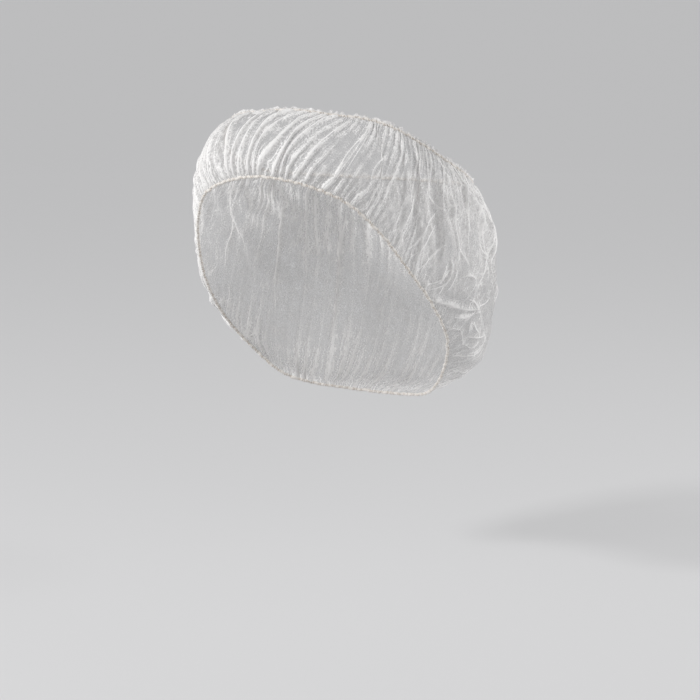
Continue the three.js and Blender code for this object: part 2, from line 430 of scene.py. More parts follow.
SCALLOP_DRIFT = (50, 1.5)
SCALLOP_UNEVENNESS = (70, 0.4)

# Creases that stand up where the cloth is drawn across the side of the head, and the sagging ones
# behind the ear. Each runs from foot to head by way of middle; these are places and shares of the
# width from the brow elastic. Height, half width and the fall of the top to one side are in mm.
CREASE_FALL = 0.5  # where a row has no fall of its own
CREASES = (
    dict(foot=(0.075, 0.18), middle=(0.095, 0.45), head=(0.150, 0.90), height=1.0, width=0.9),
    dict(foot=(0.130, 0.20), middle=(0.148, 0.46), head=(0.175, 0.72), height=0.9, width=0.9),
    dict(foot=(0.147, 0.26), middle=(0.163, 0.48), head=(0.185, 0.75), height=0.9, width=0.9),
    dict(foot=(0.196, 0.30), middle=(0.200, 0.44), head=(0.225, 0.64), height=1.0, width=0.9),
    dict(foot=(0.235, 0.20), middle=(0.230, 0.32), head=(0.242, 0.50), height=0.8, width=0.9),
    dict(foot=(0.280, 0.05), middle=(0.290, 0.30), head=(0.300, 0.62), height=0.7, width=1.0),
    dict(foot=(0.326, 0.65), middle=(0.336, 0.56), head=(0.370, 0.54), height=0.9, width=0.9),
    dict(foot=(0.330, 0.06), middle=(0.330, 0.30), head=(0.365, 0.58), height=1.2, width=1.0),
    dict(foot=(0.350, 0.04), middle=(0.342, 0.22), head=(0.358, 0.42), height=1.2, width=1.0),
    dict(foot=(0.385, 0.03), middle=(0.368, 0.20), head=(0.385, 0.36), height=1.3, width=1.0),
    dict(foot=(0.440, 0.02), middle=(0.425, 0.18), head=(0.405, 0.32), height=1.2, width=1.0),
    dict(foot=(0.325, 0.03), middle=(0.292, 0.14), head=(0.283, 0.28), height=1.4, width=1.1, fall=0.7),
    dict(foot=(0.425, 0.31), middle=(0.388, 0.64), head=(0.362, 0.95), height=2.2, width=1.1, fall=0.9),
    dict(foot=(0.508, 0.33), middle=(0.488, 0.72), head=(0.422, 0.84), height=2.2, width=1.1, fall=0.9),
    dict(foot=(0.425, 0.01), middle=(0.417, 0.14), head=(0.410, 0.29), height=1.6, width=1.1),
    dict(foot=(0.453, 0.08), middle=(0.428, 0.16), head=(0.415, 0.28), height=1.6, width=1.1),
    dict(foot=(0.412, 0.44), middle=(0.427, 0.39), head=(0.452, 0.37), height=1.4, width=1.1),
    dict(foot=(0.445, 0.27), middle=(0.463, 0.33), head=(0.497, 0.35), height=1.9, width=1.1, fall=0.8),
    dict(foot=(0.480, 0.56), middle=(0.517, 0.49), head=(0.538, 0.41), height=1.4, width=1.1),
    dict(foot=(0.550, 0.55), middle=(0.558, 0.69), head=(0.553, 0.79), height=1.4, width=1.1),
    dict(foot=(0.465, 0.01), middle=(0.482, 0.13), head=(0.528, 0.27), height=2.4, width=1.3, fall=1.4),
    dict(foot=(0.520, 0.26), middle=(0.544, 0.31), head=(0.568, 0.39), height=1.3, width=1.4, fall=0.8),
    dict(foot=(0.518, 0.09), middle=(0.520, 0.16), head=(0.523, 0.23), height=1.2, width=0.9, fall=0.7),
    dict(foot=(0.547, 0.01), middle=(0.550, 0.05), head=(0.555, 0.10), height=1.4, width=1.0, fall=0.7),
    dict(foot=(0.555, 0.10), middle=(0.573, 0.10), head=(0.602, 0.09), height=1.2, width=1.0),
    dict(foot=(0.572, 0.11), middle=(0.577, 0.17), head=(0.600, 0.24), height=1.2, width=0.9, fall=0.7),
    dict(foot=(0.645, 0.02), middle=(0.631, 0.11), head=(0.628, 0.21), height=1.2, width=0.9, fall=0.8),
    dict(foot=(0.700, 0.03), middle=(0.708, 0.09), head=(0.725, 0.16), height=1.1, width=1.0),
    dict(foot=(0.487, 0.225), middle=(0.505, 0.250), head=(0.528, 0.24), height=1.3, width=1.0),
    dict(foot=(0.535, 0.185), middle=(0.546, 0.162), head=(0.565, 0.14), height=1.2, width=1.0),
    dict(foot=(0.537, 0.195), middle=(0.557, 0.190), head=(0.577, 0.20), height=1.0, width=1.0),
    dict(foot=(0.597, 0.100), middle=(0.603, 0.135), head=(0.593, 0.18), height=1.2, width=1.0),
    dict(foot=(0.437, 0.100), middle=(0.412, 0.175), head=(0.403, 0.27), height=1.2, width=1.0),
    dict(foot=(0.450, 0.130), middle=(0.436, 0.210), head=(0.430, 0.29), height=1.1, width=1.0),
    dict(foot=(0.560, 0.35), middle=(0.570, 0.60), head=(0.540, 0.88), height=1.6, width=1.2),
    dict(foot=(0.660, 0.40), middle=(0.670, 0.65), head=(0.650, 0.90), height=1.6, width=1.4),
    dict(foot=(0.780, 0.30), middle=(0.790, 0.60), head=(0.770, 0.90), height=1.8, width=1.4),
    dict(foot=(0.900, 0.35), middle=(0.890, 0.65), head=(0.900, 0.92), height=1.6, width=1.4),
    dict(foot=(-0.130, 0.15), middle=(-0.150, 0.50), head=(-0.190, 0.85), height=1.1, width=0.9),
    dict(foot=(-0.235, 0.10), middle=(-0.245, 0.40), head=(-0.270, 0.75), height=1.0, width=1.0),
    dict(foot=(-0.335, 0.05), middle=(-0.325, 0.35), head=(-0.370, 0.66), height=1.2, width=1.0),
    dict(foot=(-0.395, 0.03), middle=(-0.380, 0.25), head=(-0.400, 0.50), height=1.3, width=1.0),
    dict(foot=(-0.450, 0.30), middle=(-0.430, 0.62), head=(-0.380, 0.94), height=1.6, width=1.1),
    dict(foot=(-0.520, 0.05), middle=(-0.550, 0.16), head=(-0.600, 0.30), height=1.5, width=1.5, fall=0.8),
    dict(foot=(-0.560, 0.40), middle=(-0.560, 0.65), head=(-0.520, 0.90), height=1.6, width=1.2),
    dict(foot=(-0.650, 0.05), middle=(-0.660, 0.14), head=(-0.690, 0.28), height=1.3, width=1.4),
    dict(foot=(-0.720, 0.34), middle=(-0.700, 0.62), head=(-0.700, 0.90), height=1.7, width=1.4),
    dict(foot=(-0.850, 0.32), middle=(-0.840, 0.62), head=(-0.850, 0.92), height=1.7, width=1.4),
)
CREASE_STEPS = 40
CREASE_TAPER = 0.6  # the less, the more suddenly its ends rise
VALLEY_DEPTH = 0.35  # beside a crease, as a share of its height
VALLEY_WIDTH = 2.6  # times the crease's own
CREASE_REACH = 0.75  # share of its length, from its middle, within which it can move the cloth,
VALLEYS_REACH = 4  # and so many of its valley's widths beyond that
# The whiter line along a crease's top is partly doubled cloth and partly painted highlight.
CREASE_SHOWN = 2.5 * MM  # from its top, where the whiter line along it runs out
FAR_FROM_CREASES = 9 * MM
CHART_ROUND, CHART_ACROSS = 400, 101


def pleats_held(around, across, rng):
    """The elastics' pleats at each point of the grid: the count of pleats up to it, how high they
    stand off the cloth, how full they are, and how far they fall over."""
    at = (2 * np.arange(around) / around + 1) % 2 - 1
    places = [row["place"] for row in PLEATING]
    here = {key: np.interp(at, places, [row[key] for row in PLEATING])[:, None] for key in PLEATING[0]}
    up = np.linspace(0, 1, across)[None]
    drift = wander(rng, around, *PLEAT_DRIFT)[:, None]
    drift = drift + wander(rng, around, *PLEAT_LEAN)[:, None] * (up - 0.5)
    count = PLEATS / 2 * (at[:, None] - here["lean"] * up) + drift
    pleat = np.round(count).astype(int) % PLEATS
    fullness = rng.uniform(*PLEAT_FULLNESS, PLEATS)[pleat]
    brow_length = rng.uniform(*PLEAT_LENGTH, PLEATS)[pleat]
    crown_length = rng.uniform(*PLEAT_LENGTH, PLEATS)[pleat]
    falls = (rng.uniform(*PLEAT_FALLS, PLEATS) * PLEAT_FALL)[pleat]
    ridge = (0.5 + 0.5 * np.cos(2 * np.pi * count)) ** PLEAT_SHARPNESS
    from_brow = here["brow"] / (1 + (up / (here["brow_reach"] * brow_length)) ** PLEAT_END)
    from_crown = here["crown"] / (1 + ((1 - up) / (here["crown_reach"] * crown_length)) ** PLEAT_END)
    size = np.maximum(from_brow, from_crown)
    full = size / max(row["brow"] for row in PLEATING)
    return count, size * MM * fullness * (ridge - PLEAT_SUNK), full * fullness, falls * ridge * full


def on_chart(charted, route):
    """The points of the smooth band at the places and shares of the width along a route."""
    x, y = route[:, 0] * CHART_ROUND / 2, route[:, 1] * (CHART_ACROSS - 1)
    i, j = np.floor(x).astype(int), np.clip(np.floor(y).astype(int), 0, CHART_ACROSS - 2)
    s, t = (x - i)[:, None], (y - j)[:, None]
    before, after = charted[i % CHART_ROUND], charted[(i + 1) % CHART_ROUND]
    each = np.arange(len(i))
    low = (1 - s) * before[each, j] + s * after[each, j]
    high = (1 - s) * before[each, j + 1] + s * after[each, j + 1]
    return (1 - t) * low + t * high


def creases_charted(cloth, facing):
    """The charted creases at each point of a grid laid on the smooth band: how far they stand off,
    how far their tops fall over, how near the point is to one, and how far to one side of it."""
    charted = smooth_band(CHART_ROUND, CHART_ACROSS)
    off = np.zeros(cloth.shape[:2])
    over = np.zeros(cloth.shape)
    presence = np.zeros(cloth.shape[:2])
    beside = np.full(cloth.shape[:2], FAR_FROM_CREASES)
    for crease in CREASES:
        route = curve_through(np.array([crease["foot"], crease["middle"], crease["head"]]), CREASE_STEPS)
        line = evenly(on_chart(charted, route), np.linspace(0, 1, CREASE_STEPS))
        width = crease["width"] * MM
        from_middle = np.linalg.norm(cloth - line[CREASE_STEPS // 2], axis=-1)
        length = np.linalg.norm(line[-1] - line[0])
        near = from_middle < length * CREASE_REACH + VALLEYS_REACH * VALLEY_WIDTH * width
        step = np.diff(line, axis=0)
        reach = cloth[near][:, None] - line[None, :-1]
        along = np.clip((reach * step).sum(-1) / (step**2).sum(-1), 0, 1)
        gap = reach - along[..., None] * step
        apart = np.linalg.norm(gap, axis=-1)
        nearest = apart.argmin(1)
        each = np.arange(len(nearest))
        run = (nearest + along[each, nearest]) / (CREASE_STEPS - 1)
        strength = np.sin(np.pi * np.clip(run, 0.01, 0.99)) ** CREASE_TAPER
        sideways = unit(np.cross(step[nearest], facing[near]))
        side = (gap[each, nearest] * sideways).sum(-1)
        away = apart.min(1) / width
        top = np.exp(-(away**2))
        profile = top - VALLEY_DEPTH * np.exp(-((away / VALLEY_WIDTH) ** 2))
        off[near] += crease["height"] * MM * strength * profile / (1 - VALLEY_DEPTH)
        over[near] += sideways * (crease.get("fall", CREASE_FALL) * MM * strength * top)[:, None]
        shown = strength * np.exp(-((apart.min(1) / CREASE_SHOWN) ** 2))
        nearer = shown > presence[near]
        presence[near] = np.where(nearer, shown, presence[near])
        beside[near] = np.where(nearer, side, beside[near])
    return off, over, presence, beside


columns, rows = cloth.shape[:2]
at_edge = np.exp(-((from_elastic(band) / EDGE_HOLD) ** 2))[..., None]
round_it = unit(np.roll(band, -1, 0) - np.roll(band, 1, 0))
upward = unit(np.gradient(band, axis=1))
base, facing = nearest_on(band, cloth)
laid = cloth - facing * ((cloth - base) * facing).sum(-1, keepdims=True)
count, folds, pleated, falls = pleats_held(columns, rows, rng)
off, over, creased, beside = creases_charted(laid, facing)
folds = folds + off
cloth = cloth + (facing * folds[..., None] + round_it * falls[..., None] + over) * (1 - at_edge)
cloth = smoothed(cloth + (1 - EDGE_WAVES) * at_edge * (band - cloth))
drawn_in = 2 * np.pi * GATHERS * np.arange(columns) / columns + wander(rng, columns, *SCALLOP_DRIFT)
drawn_in = SCALLOP * np.cos(drawn_in) * (1 + wander(rng, columns, *SCALLOP_UNEVENNESS))
cloth = cloth + at_edge * upward * drawn_in[:, None, None]

# Past the crown elastic a little of the cut edge stands free, in a fine ruffle.
RUFFLE_ROWS = (1.1 * MM, 2.1 * MM)
RUFFLE_WAVES = 76
RUFFLE_DRIFT = (40, 2.0)
RUFFLE_SWING = 0.5 * MM
RUFFLE_UNEVENNESS = (60, 0.4)
RUFFLE_STANDS = 0.7  # how far it turns out of the cloth's own direction
RUFFLE_LEAST = 0.75  # of its height, between two tops
RUFFLE_TOPS = 0.4
RUFFLE_RAGGED = (50, 0.08)

beyond = unit(unit(band[:, -1] - band[:, -3]) + RUFFLE_STANDS * facing[:, -1])
waves = RUFFLE_WAVES * 2 * np.pi * np.arange(columns) / columns + wander(rng, columns, *RUFFLE_DRIFT)
swing = (RUFFLE_SWING * np.sin(waves) * (1 + wander(rng, columns, *RUFFLE_UNEVENNESS)))[:, None]
tops = RUFFLE_LEAST + RUFFLE_TOPS * np.abs(np.cos(waves / 2)) + wander(rng, columns, *RUFFLE_RAGGED)
ruffle = [
    cloth[:, -1] + beyond * row * tops[:, None] + facing[:, -1] * swing * row / RUFFLE_ROWS[-1]
    for row in RUFFLE_ROWS
]
cloth = np.concatenate([cloth, np.stack(ruffle, axis=1)], axis=1)

gathered_cloth = grid_object("gathered_cloth", cloth)
gathered_cloth.data.shade_smooth()

# The cloth's own map, in metres as it was cut, with its join at the nape, and beside it the count of
# pleats, which runs on past the join in the same way.
across = cloth.shape[1]
ruffle_pad = ((0, 0), (0, len(RUFFLE_ROWS)))


def lay_map(name, u, v):
    """Lays a map on the cloth, with a place for each corner of its faces."""
    places = np.stack([u, v], -1).astype(np.float32).ravel()
    gathered_cloth.data.uv_layers.new(name=name).data.foreach_set("uv", places)


corner_place = np.empty(len(gathered_cloth.data.loops), int)
gathered_cloth.data.loops.foreach_get("vertex_index", corner_place)
column, row = np.divmod(corner_place, across)
column = column.reshape(-1, 4)
at_join = column < column.max(1, keepdims=True) - columns // 2
column = np.where(at_join, column + columns, column).ravel()
pleats_up_to = np.pad(count, ruffle_pad, mode="edge")[column % columns, row]
pleats_up_to += PLEATS * np.round((column / columns * PLEATS - pleats_up_to) / PLEATS)
lay_map("as_cut", column / columns * CUT_ROUND, row / across * widths_of(band).mean() * EASE_BEHIND)
lay_map("pleats", pleats_up_to, row / across)

# Where the cloth turns on edge to the band, or doubles over itself, more of it lies in the way. The tops
# of high folds count as well, so they come out more opaque and whiter, which is partly painted highlight.
STEEPEST = 0.3
CREST_HEIGHT = 1.8 * MM
CREST_SHARE = 0.3
RUFFLE_BUNCHED = 0.3

turned = np.abs((face_directions(cloth) * face_directions(smooth_band(columns, across))).sum(-1))
crest = np.clip(np.pad(folds * (1 - at_edge[..., 0]), ruffle_pad) / CREST_HEIGHT, 0, 1)
bunched = np.clip(1 - turned, 0, STEEPEST) + CREST_SHARE * crest**2
bunched = 0.5 * bunched + 0.25 * (np.roll(bunched, 1, 0) + np.roll(bunched, -1, 0))
bunched[:, -len(RUFFLE_ROWS) :] = RUFFLE_BUNCHED
for name, value in (
    ("bunched", bunched),
    ("pleated", np.pad(np.clip(pleated, 0, 1), ruffle_pad)),
    ("creased", np.pad(creased, ruffle_pad)),
    ("beside_crease", np.pad(beside, ruffle_pad, mode="edge")),
):
    layer = gathered_cloth.data.attributes.new(name, "FLOAT", "POINT")
    layer.data.foreach_set("value", value.astype(np.float32).ravel())


def node_adder(tree):
    """A function that adds a node to a tree, with its settings, and with values or links for its inputs."""

    def add(kind, values=None, **settings):
        node = tree.nodes.new(kind)
        for key, value in settings.items():
            setattr(node, key, value)
        for key, value in (values or {}).items():
            if isinstance(value, bpy.types.NodeSocket):
                tree.links.new(value, node.inputs[key])
            else:
                node.inputs[key].default_value = value
        return node

    return add


def new_material(name):
    """An empty node material, and the function that adds nodes to it."""
    material = bpy.data.materials.new(name)
    material.use_nodes = True
    material.node_tree.nodes.clear()
    return material, node_adder(material.node_tree)


# The thin cloth's grey is partly its own see-through greyness and partly painted shade between the folds.
CLOTH_THIN_SHADED = (0.46, 0.455, 0.455, 1)
CLOTH_WHITE = (0.93, 0.92, 0.91, 1)
CLOUD_SIZE = 6 * MM
SPECKLE_SIZE = 1.1 * MM
FIBRE_SIZE = 5 * MM
FIBRE_LAYERS = ((0.3, 1.0), (1.7, 0.7), (2.6, 1.3))  # how each is turned, and its size
FIBRE_LINE = 0.012
BOND_PITCH = 1.4 * MM
BOND_EDGE = (0.18, 0.30)  # from a bond point's middle, as shares of the pitch
# The whiter line along a pleat's top is partly doubled cloth and partly painted highlight.
PLEAT_LINE = 0.13  # half width of the whiter line along a pleat's top, as a share of the pleats' pitch
CREASE_LINE = 0.6 * MM
CREASE_OVER_PLEAT = 1.4
GATHERS_PER_PLEAT = 3  # fine ones, between the pleats
GATHER_LINE = 0.3
GATHERS_ASTRAY = 2.0  # how far the clouds push them aside
GATHERS_FULL = 0.1  # share of the width beside each elastic where they are at their strongest
GATHERS_MIDDLE = 0.25  # their strength half way between the elastics
WRINKLE_LENGTH = 26 * MM
WRINKLE_SPACING = 6 * MM
WRINKLE_LAYERS = ((0.2, 1.0), (-0.35, 0.75))  # how each is turned, and its closeness
WRINKLE_LINE = 0.035

# How each of the cloth's features adds to how much it hides, how white it is and how far it stands up.
# The whitening is partly the cloth's own mottle and doubling, and partly painted highlight along fold
# tops, gathers and wrinkles. Its least is painted shade on the thin cloth between them.
HIDES = dict(clouds=1.1, speckle=1.3, fibres=0.14, bond=-0.08)
HIDES |= dict(lines=0.4, wrinkles=0.22, gathers=0.5, bunched=1.4)
HIDES_LEAST = -0.72
WHITENS_AND_LIGHTS = dict(bunched=1.3, lines=1.0, wrinkles=0.4, gathers=1.0, clouds=1.0, speckle=0.8)
WHITENS_AND_LIGHTS_LEAST = -0.7
RAISES = dict(speckle=1.0, fibres=0.5, bond=-0.6, wrinkles=1.2, gathers=3.0)
LETS_THROUGH = 0.25  # of the light that the filaments catch


def non_woven():
    """Spunbond: random fine filaments, pressed together at rows of small points; thin enough to see
    through between its clouds, and whiter where it is folded. Its colour runs from grey on thin cloth,
    partly painted shade between the folds, to white on folds, ridge lines, gathers and wrinkles. The white
    is partly the doubled cloth and partly painted highlight."""
    material, add = new_material("non_woven")
    spot = add("ShaderNodeTexCoord").outputs["Object"]
    cut = add("ShaderNodeUVMap", uv_map="as_cut").outputs["UV"]
    pleats = add("ShaderNodeSeparateXYZ", {0: add("ShaderNodeUVMap", uv_map="pleats").outputs["UV"]}).outputs

    def noise(at, size, **values):
        return add("ShaderNodeTexNoise", {"Vector": at, "Scale": 1 / size} | values).outputs["Fac"]

    def maths(operation, a, b, c=None, clamp=False):
        values = {0: a, 1: b} if c is None else {0: a, 1: b, 2: c}
        return add("ShaderNodeMath", values, operation=operation, use_clamp=clamp).outputs[0]

    def measured(name):
        return add("ShaderNodeAttribute", attribute_name=name).outputs["Fac"]

    def fading(value, start, end, **settings):
        """One at the start, and nothing from the end on."""
        ramp = {"Value": value, "From Min": start, "From Max": end, "To Min": 1, "To Max": 0}
        return add("ShaderNodeMapRange", ramp, **settings).outputs[0]

    def line_at(away, half_width, strength):
        away = maths("ABSOLUTE", away, 0)
        return maths("MULTIPLY", fading(away, 0, half_width, interpolation_type="SMOOTHSTEP"), strength)

    def past_half(count):
        """How far a running count is past its last half, or short of its next."""
        return maths("SUBTRACT", maths("FRACT", count, 0), 0.5)

    clouds = noise(spot, CLOUD_SIZE, Detail=3, Roughness=0.6)
    speckle = noise(spot, SPECKLE_SIZE, Detail=2, Roughness=0.65)

    fibres = 0
    for turn, size in FIBRE_LAYERS:
        turned = add("ShaderNodeMapping", {"Vector": spot, "Rotation": (turn, 2 * turn, 3 * turn)}).outputs[0]
        field = noise(turned, FIBRE_SIZE * size, Detail=1, Distortion=1.5)
        line = fading(maths("ABSOLUTE", maths("SUBTRACT", field, 0.5), 0), 0, FIBRE_LINE)
        fibres = maths("MAXIMUM", fibres, line)

    cells = {"Vector": cut, "Scale": (1 / BOND_PITCH,) * 3, "Rotation": (0, 0, math.pi / 4)}
    cells = {"Vector": add("ShaderNodeMapping", cells).outputs[0], "Scale": 1, "Randomness": 0}
    bond = fading(add("ShaderNodeTexVoronoi", cells).outputs["Distance"], *BOND_EDGE)

    # Lines along pleat and crease tops: more opaque, and whiter as painted highlight.
    pleat_line = line_at(past_half(maths("ADD", pleats["X"], 0.5)), PLEAT_LINE, measured("pleated"))
    crease_line = line_at(measured("beside_crease"), CREASE_LINE, measured("creased"))
    lines = maths("MAXIMUM", pleat_line, maths("MULTIPLY", crease_line, CREASE_OVER_PLEAT))

    beside_edge = {
        "Value": maths("ABSOLUTE", maths("SUBTRACT", pleats["Y"], 0.5), 0),
        "From Max": 0.5 - GATHERS_FULL,
        "To Min": GATHERS_MIDDLE,
    }
    beside_edge = add("ShaderNodeMapRange", beside_edge).outputs[0]
    gathers = maths("MULTIPLY_ADD", clouds, GATHERS_ASTRAY, maths("MULTIPLY", pleats["X"], GATHERS_PER_PLEAT))
    gathers = line_at(past_half(gathers), GATHER_LINE, maths("MULTIPLY", beside_edge, measured("pleated")))

    wrinkles = 0
    for turn, share in WRINKLE_LAYERS:
        drawn = {"Rotation": (0, 0, turn), "Scale": (share / WRINKLE_SPACING, 1 / WRINKLE_LENGTH, 1)}
        drawn = add("ShaderNodeMapping", {"Vector": cut} | drawn).outputs[0]
        field = noise(drawn, 1, Detail=2, Distortion=0.4)
        wrinkles = maths("MAXIMUM", wrinkles, line_at(maths("SUBTRACT", field, 0.5), WRINKLE_LINE, 1))
    patches = fading(noise(spot, WRINKLE_LENGTH, Detail=1), 0.6, 0.4)
    wrinkles = maths("MULTIPLY", wrinkles, patches)

    features = dict(clouds=clouds, speckle=speckle, fibres=fibres, bond=bond)
    features |= dict(lines=lines, wrinkles=wrinkles, gathers=gathers, bunched=measured("bunched"))

    def sum_of(shares, least=0.0):
        total = least
        for name, share in shares.items():
            total = maths("MULTIPLY_ADD", features[name], share, total)
        return total

    opacity = maths("ADD", sum_of(HIDES, HIDES_LEAST), 0, clamp=True)
    whiter = maths("ADD", sum_of(WHITENS_AND_LIGHTS, WHITENS_AND_LIGHTS_LEAST), 0, clamp=True)
    # Painted shade and painted highlight: the base colour is grey on thin cloth and white on folds, ridge
    # lines, gathers and wrinkles.
    tone = add("ShaderNodeMix", {0: whiter, 6: CLOTH_THIN_SHADED, 7: CLOTH_WHITE}, data_type="RGBA").outputs[2]
    bump = add("ShaderNodeBump", {"Height": sum_of(RAISES), "Strength": 0.5, "Distance": 0.2 * MM}).outputs[0]
    filaments = {"Base Color": tone, "Normal": bump, "Roughness": 0.8}
    filaments |= {"Sheen Weight": 0.25, "Sheen Roughness": 0.5}
    filaments = add("ShaderNodeBsdfPrincipled", filaments)
    through = add("ShaderNodeBsdfTranslucent", {"Color": tone, "Normal": bump})
    thick = add("ShaderNodeMixShader", {0: LETS_THROUGH, 1: filaments.outputs[0], 2: through.outputs[0]})
    clear = add("ShaderNodeBsdfTransparent")
    thin = add("ShaderNodeMixShader", {0: opacity, 1: clear.outputs[0], 2: thick.outputs[0]})
    add("ShaderNodeOutputMaterial", {"Surface": thin.outputs[0]})
    return material


gathered_cloth.data.materials.append(non_woven())
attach(gathered_cloth, "root")
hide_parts("fabric_band")

# ---------------------------------------------------------------------------------------------------
# The elastic edges: a thin elastic thread laid on each cut edge of the cloth and overlocked to it
# under stretch. The edge of the cloth rolls round it in small beads between the stitches, and the
# looper threads cross it aslant.
STITCH_PITCH = 1.55 * MM
STITCHES_PER_BEAD = 3
STITCH_RADIUS = 0.88 * MM
STITCH_LEAN = math.radians(38)
STITCH_UNEVENNESS = (0.2, 0.2, 0.3)
THREAD_RADIUS = 0.17 * MM
LOOP_SIDES, THREAD_SIDES = 10, 4
CORE_SIDES = 10
BEAD_RADIUS = 0.8 * MM
BEAD_SWELL = 0.55
BEAD_WAIST = 0.6  # of the swell, where a bead is as thick as the edge is on the whole
BEAD_DRIFT = (60, 0.5)
BEAD_ROUGHNESS = (300, 0.06)
EDGE_CORD = (0.90, 0.885, 0.86, 1)
# Painted shade: the rolled edge's colour at the waists between its beads, and the dark end of its grain.
EDGE_CORD_SHADE = (0.56, 0.51, 0.46, 1)
EDGE_CORD_GRAIN = 0.5 * MM
EDGE_THREAD = (0.94, 0.93, 0.91, 1)
EDGE_THREAD_HOLLOW = (0.80, 0.78, 0.75, 1)
EDGE_THREAD_GRAIN = 0.3 * MM


def eased_line(line, passes=3):
    """A closed line without its smallest wiggles."""
    for _ in range(passes):
        line = 0.5 * line + 0.25 * (np.roll(line, 1, 0) + np.roll(line, -1, 0))
    return line


def beaded_core(name, line, pitch, rng):
    """The rolled edge over the elastic: a round section that swells at every gather."""
    count = len(line)
    length = np.linalg.norm(np.roll(line, -1, 0) - line, axis=1)
    run = np.concatenate([[0], np.cumsum(length)[:-1]])
    ahead = unit(np.roll(line, -1, 0) - np.roll(line, 1, 0))
    side = unit(np.cross(ahead, (0, 0, 1)))
    over = np.cross(side, ahead)
    swell = np.abs(np.sin(np.pi * run / pitch + wander(rng, count, *BEAD_DRIFT))) - BEAD_WAIST
    # The waists between the beads are marked here for painted shade in the rolled edge's colour.
    waist_shade = np.clip(BEAD_WAIST - swell / (1 - BEAD_WAIST), 0, 1)
    radius = BEAD_RADIUS * (1 + BEAD_SWELL * swell + wander(rng, count, *BEAD_ROUGHNESS))
    turn = 2 * np.pi * np.arange(CORE_SIDES) / CORE_SIDES
    ring = np.cos(turn)[None, :, None] * side[:, None] + np.sin(turn)[None, :, None] * over[:, None]
    rings = line[:, None] + radius[:, None, None] * ring

    i, j = np.meshgrid(np.arange(count), np.arange(CORE_SIDES), indexing="ij")
    here, on = i * CORE_SIDES, (i + 1) % count * CORE_SIDES
    after = (j + 1) % CORE_SIDES
    corners = np.stack([here + j, here + after, on + after, on + j], -1)
    mesh = bpy.data.meshes.new(name)
    mesh.from_pydata(rings.reshape(-1, 3).tolist(), [], corners.reshape(-1, 4).tolist())
    mesh.shade_smooth()
    layer = mesh.attributes.new("waist_shade", "FLOAT", "POINT")
    layer.data.foreach_set("value", np.repeat(waist_shade, CORE_SIDES).astype(np.float32))
    return in_scene(name, mesh)


def stitch_tree():
    """Geometry nodes that set a slanting loop of thread round a line at every stitch."""
    tree = bpy.data.node_groups.new("overlock_stitches", "GeometryNodeTree")
    sockets = tree.interface
    sockets.new_socket("Geometry", in_out="INPUT", socket_type="NodeSocketGeometry")
    for name, value in (
        ("Pitch", STITCH_PITCH),
        ("Loop Radius", STITCH_RADIUS),
        ("Thread Radius", THREAD_RADIUS),
        ("Lean", STITCH_LEAN),
    ):
        sockets.new_socket(name, in_out="INPUT", socket_type="NodeSocketFloat").default_value = value
    sockets.new_socket("Seed", in_out="INPUT", socket_type="NodeSocketInt").default_value = 1
    sockets.new_socket("Material", in_out="INPUT", socket_type="NodeSocketMaterial")
    sockets.new_socket("Geometry", in_out="OUTPUT", socket_type="NodeSocketGeometry")

    add = node_adder(tree)
    given = add("NodeGroupInput").outputs
    places = {"Curve": given["Geometry"], "Length": given["Pitch"]}
    places = add("GeometryNodeCurveToPoints", places, mode="LENGTH").outputs
    round_edge = {"Resolution": LOOP_SIDES, "Radius": given["Loop Radius"]}
    round_edge = add("GeometryNodeCurvePrimitiveCircle", round_edge).outputs["Curve"]
    section = {"Resolution": THREAD_SIDES, "Radius": given["Thread Radius"]}
    section = add("GeometryNodeCurvePrimitiveCircle", section).outputs["Curve"]
    loop = add("GeometryNodeCurveToMesh", {"Curve": round_edge, "Profile Curve": section}).outputs[0]
    loops = {"Points": places["Points"], "Instance": loop, "Rotation": places["Rotation"]}
    loops = add("GeometryNodeInstanceOnPoints", loops).outputs[0]
    uneven = {"Min": tuple(-x for x in STITCH_UNEVENNESS), "Max": STITCH_UNEVENNESS, "Seed": given["Seed"]}
    uneven = add("FunctionNodeRandomValue", uneven, data_type="FLOAT_VECTOR").outputs[0]
    lean = add("ShaderNodeCombineXYZ", {"X": given["Lean"]}).outputs[0]
    angle = add("ShaderNodeVectorMath", {0: uneven, 1: lean}, operation="ADD").outputs[0]
    turned = add("GeometryNodeRotateInstances", {"Instances": loops, "Rotation": angle}).outputs[0]
    real = add("GeometryNodeRealizeInstances", {0: turned}).outputs[0]
    smooth = add("GeometryNodeSetShadeSmooth", {"Geometry": real}).outputs[0]
    done = add("GeometryNodeSetMaterial", {"Geometry": smooth, "Material": given["Material"]}).outputs[0]
    add("NodeGroupOutput", {0: done})
    return tree


def stitched(name, line, tree, material, pitch, seed):
    """The overlock stitches round a closed line, as a plain mesh."""
    curve = bpy.data.curves.new(name + "_line", "CURVE")
    curve.dimensions = "3D"
    spline = curve.splines.new("POLY")
    spline.points.add(len(line) - 1)
    weighted = np.concatenate([line, np.ones((len(line), 1))], 1)
    spline.points.foreach_set("co", weighted.astype(np.float32).ravel())
    spline.use_cyclic_u = True
    drawn = in_scene(name + "_line", curve)
    modifier = drawn.modifiers.new("stitches", "NODES")
    modifier.node_group = tree
    sockets = {item.name: item.identifier for item in tree.interface.items_tree if item.in_out == "INPUT"}
    modifier[sockets["Pitch"]] = pitch
    modifier[sockets["Seed"]] = seed
    modifier[sockets["Material"]] = material
    mesh = bpy.data.meshes.new_from_object(drawn.evaluated_get(bpy.context.evaluated_depsgraph_get()))
    mesh.name = name
    bpy.data.objects.remove(drawn)
    bpy.data.curves.remove(curve)
    return in_scene(name, mesh)


